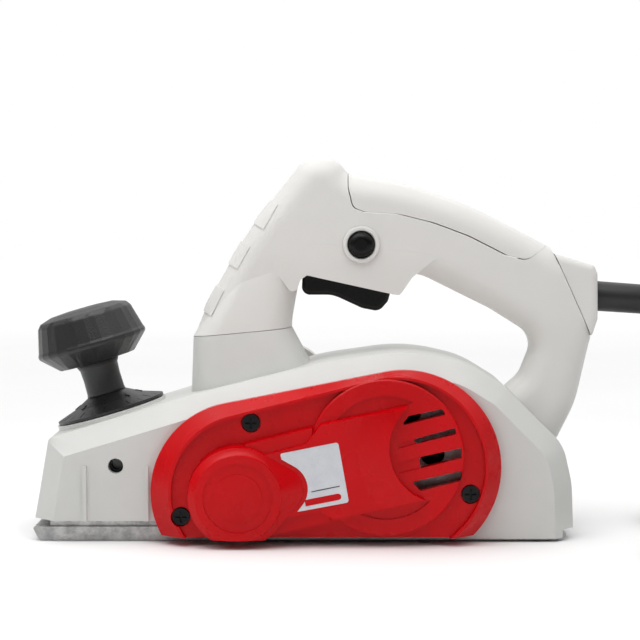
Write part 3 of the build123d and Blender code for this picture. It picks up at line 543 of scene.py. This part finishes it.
def flat_print(name, stripe, paint):
    """A printed stripe: a thin closed plate that stands just proud of the label."""
    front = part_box("label_plate")[0][1] - PRINT_LIFT
    depths = (front, front + PRINT_LIFT + PRINT_SINK)
    work = bmesh.new()
    rings = [
        [work.verts.new((x * MM, depth, z * MM)) for x, z in stripe_corners(*stripe)] for depth in depths
    ]
    skin(work, rings, smooth=False)
    close_ends(work, rings)
    new_piece(name, finished_mesh(work, name), paint, "housing")


def make_label_print():
    """A plain red stripe along the label's foot, and a thin dark rule above it."""
    flat_print("label_stripe", LABEL_STRIPE, material_cover())
    flat_print("label_rule", LABEL_RULE, material_black())


# ---------------------------------------------------------------- stage

def make_floor():
    """Pale paper that glows a little towards the horizon, so that it meets the white behind it."""
    mesh = bpy.data.meshes.new("floor")
    corners = [(-1, -1), (1, -1), (1, 1), (-1, 1)]
    mesh.from_pydata([(x * FLOOR_REACH, y * FLOOR_REACH, 0) for x, y in corners], [], [(0, 1, 2, 3)])
    floor = bpy.data.objects.new("floor", mesh)
    floor.location.z = -FLOOR_DROP
    bpy.context.scene.collection.objects.link(floor)
    material, tree, shader = new_material("floor_paper")
    paper = blend_colours(tree, noise(tree, 3.0, 3.0), (0.87, 0.87, 0.87), (0.89, 0.89, 0.89))
    tree.links.new(paper, shader.inputs["Base Color"])
    shader.inputs["Roughness"].default_value = 0.9
    place = add(tree, "ShaderNodeTexCoord")
    away = add(tree, "ShaderNodeVectorMath", operation="LENGTH")
    tree.links.new(place.outputs["Object"], away.inputs[0])
    glow = rescale(tree, away.outputs["Value"], (0.6, 2.2), (0.0, 0.17))
    tree.links.new(glow, shader.inputs["Emission Strength"])
    shader.inputs["Emission Color"].default_value = (1, 1, 1, 1)
    mesh.materials.append(material)


def make_world():
    """A white studio, brighter overhead and behind the object than behind the camera."""
    world = bpy.data.worlds.new("studio")
    bpy.context.scene.world = world
    world.use_nodes = True
    tree = world.node_tree
    light = tree.nodes["Background"]
    light.inputs["Color"].default_value = (1, 1, 1, 1)
    place = add(tree, "ShaderNodeTexCoord")
    split = add(tree, "ShaderNodeSeparateXYZ")
    tree.links.new(place.outputs["Generated"], split.inputs["Vector"])
    total = add(tree, "ShaderNodeMath", operation="ADD")
    behind = rescale(tree, split.outputs["Y"], (-1.0, 1.0), (0.01, 0.56))
    above = rescale(tree, split.outputs["Z"], (0.25, 1.0), (0.0, 1.25))
    tree.links.new(behind, total.inputs[0])
    tree.links.new(above, total.inputs[1])
    tree.links.new(total.outputs["Value"], light.inputs["Strength"])
    seen = add(tree, "ShaderNodeBackground", Color=(1, 1, 1, 1), Strength=1.0)
    path = add(tree, "ShaderNodeLightPath")
    mix = add(tree, "ShaderNodeMixShader")
    tree.links.new(path.outputs["Is Camera Ray"], mix.inputs["Fac"])
    tree.links.new(light.outputs["Background"], mix.inputs[1])
    tree.links.new(seen.outputs["Background"], mix.inputs[2])
    tree.links.new(mix.outputs["Shader"], tree.nodes["World Output"].inputs["Surface"])


def make_lamps():
    for name, place, size, power in LAMPS:
        data = bpy.data.lights.new(name, "AREA")
        data.shape = "RECTANGLE"
        data.size, data.size_y = size
        data.energy = power
        lamp = bpy.data.objects.new(name, data)
        lamp.location = place
        lamp.rotation_euler = (Vector(LIT_POINT) - Vector(place)).to_track_quat("-Z", "Y").to_euler()
        bpy.context.scene.collection.objects.link(lamp)


# ---------------------------------------------------------------- build

make_camera()
make_cord()
paint_nodes()
make_head()
make_neck()
make_label_print()
make_dial_numbers()
make_floor()
make_world()
make_lamps()
bpy.context.scene.view_settings.view_transform = "Standard"
